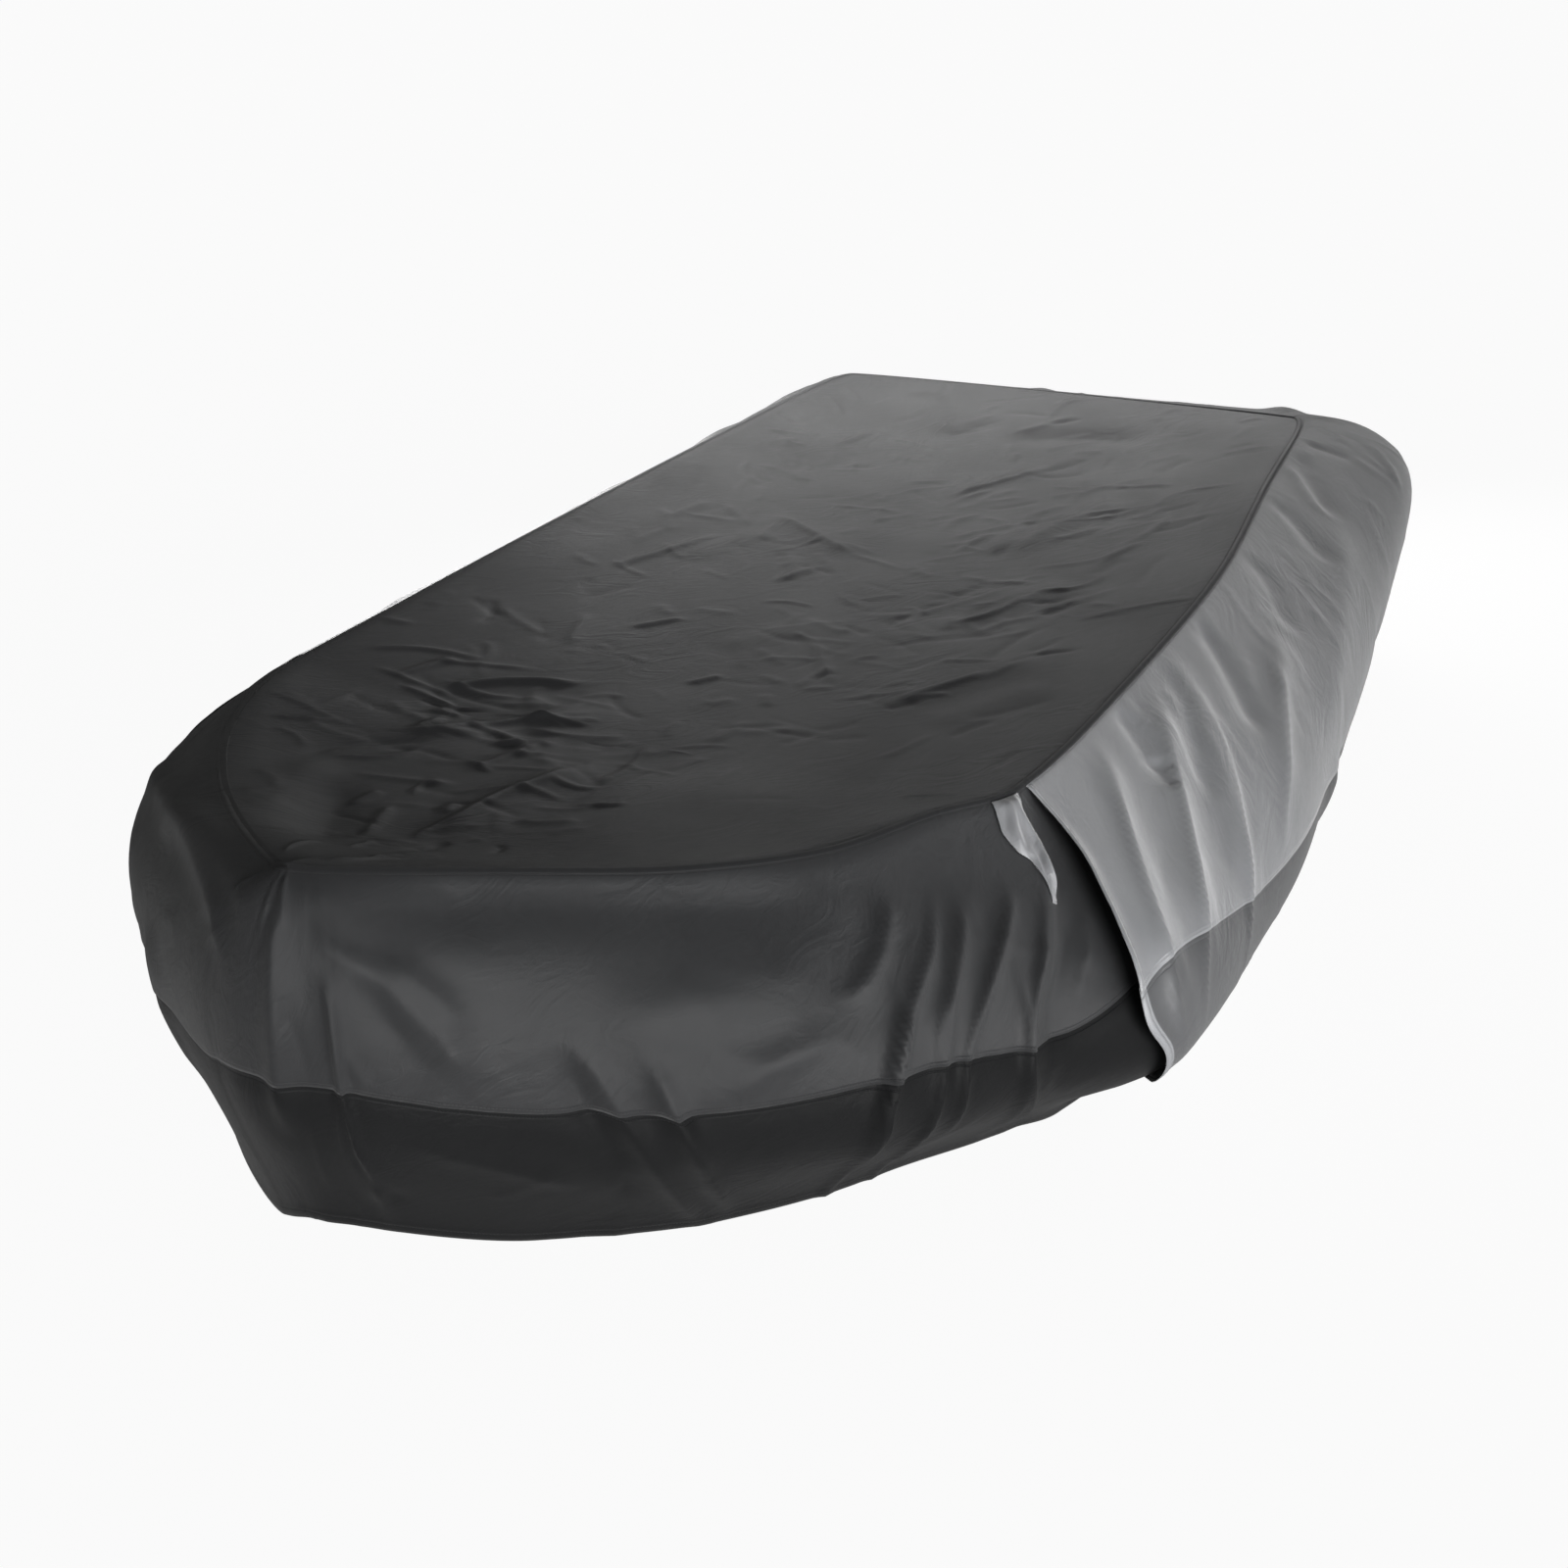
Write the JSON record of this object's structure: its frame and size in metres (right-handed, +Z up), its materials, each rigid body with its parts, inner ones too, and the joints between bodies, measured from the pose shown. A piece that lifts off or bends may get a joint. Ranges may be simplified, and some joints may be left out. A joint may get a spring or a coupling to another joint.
{
  "type": "kayak cover",
  "caption": "Fitted cloth cover, hollow inside, draped over a small inflatable kayak: a sagging top, rounded side skirts with shoulder pleats and a darker hem band.",
  "frame": {"origin": "middle of the cover's outer box in plan, level with the lowest point of the hem", "axes": "+X to the raised bow, +Y to port, +Z up"},
  "size_m": [3.0391, 1.6334, 0.652],
  "materials": {
    "cover_cloth": "thin dark grey coated woven polyester, matte satin, finely creased",
    "band_cloth": "the same woven cloth, doubled and darker, along the hem"
  },
  "bodies": {
    "root": {"top_panel": "cover_cloth", "bow_skirt": "cover_cloth", "port_skirt": "cover_cloth", "starboard_skirt": "cover_cloth", "stern_skirt": "cover_cloth", "bow_band": "band_cloth", "port_band": "band_cloth", "starboard_band": "band_cloth", "stern_band": "band_cloth"}
  },
  "joints": []
}
